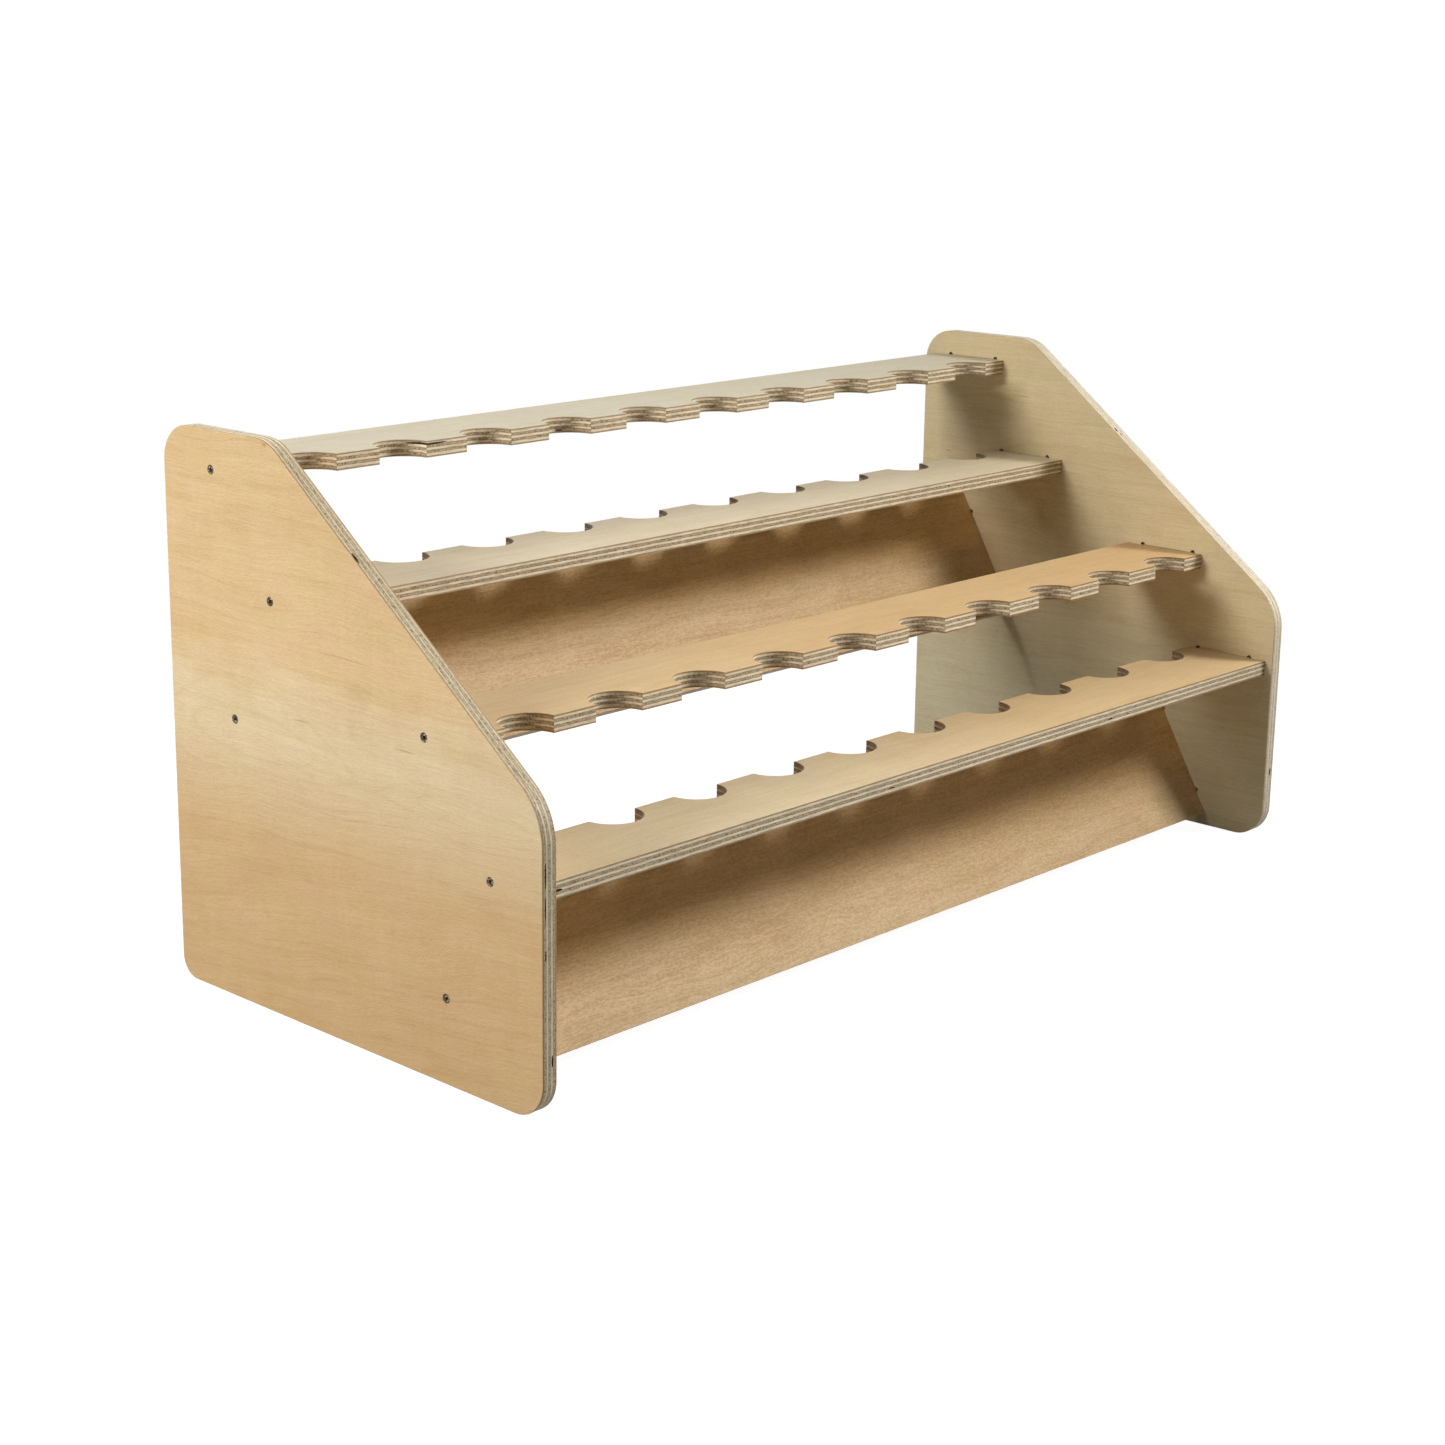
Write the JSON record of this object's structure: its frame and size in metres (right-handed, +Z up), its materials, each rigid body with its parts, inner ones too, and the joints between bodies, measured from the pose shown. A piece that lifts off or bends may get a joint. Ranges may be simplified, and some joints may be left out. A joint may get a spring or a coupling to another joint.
{
  "type": "paint rack",
  "caption": "Two-tier plywood desktop rack with sloping side panels, notched slats for leaning bottles or tubes, and slanted foot boards.",
  "frame": {"origin": "on the ground, under the middle of the rack", "axes": "+X along the rack to the viewer's right, +Y to the rear, +Z up"},
  "size_m": [0.633, 0.28, 0.2984],
  "materials": {
    "panel_ply": "honey birch plywood, bare and fine sanded, plies showing on the edges",
    "slat_ply": "pale birch plywood, bare and fine sanded, cut edges striped by the plies",
    "board_ply": "browner birch plywood, bare and fine sanded",
    "screw_steel": "zinc-grey plated steel"
  },
  "bodies": {
    "root": {"left_side_panel": "panel_ply", "right_side_panel": "panel_ply", "upper_rear_slat": "slat_ply", "upper_front_slat": "slat_ply", "upper_foot_board": "board_ply", "lower_rear_slat": "slat_ply", "lower_front_slat": "slat_ply", "lower_foot_board": "board_ply", "upper_rear_slat_left_screw": "screw_steel", "upper_front_slat_left_screw": "screw_steel", "upper_foot_board_left_screw": "screw_steel", "lower_rear_slat_left_screw": "screw_steel", "lower_front_slat_left_screw": "screw_steel", "lower_foot_board_left_screw": "screw_steel", "upper_rear_slat_right_screw": "screw_steel", "upper_front_slat_right_screw": "screw_steel", "upper_foot_board_right_screw": "screw_steel", "lower_rear_slat_right_screw": "screw_steel", "lower_front_slat_right_screw": "screw_steel", "lower_foot_board_right_screw": "screw_steel"}
  },
  "joints": []
}
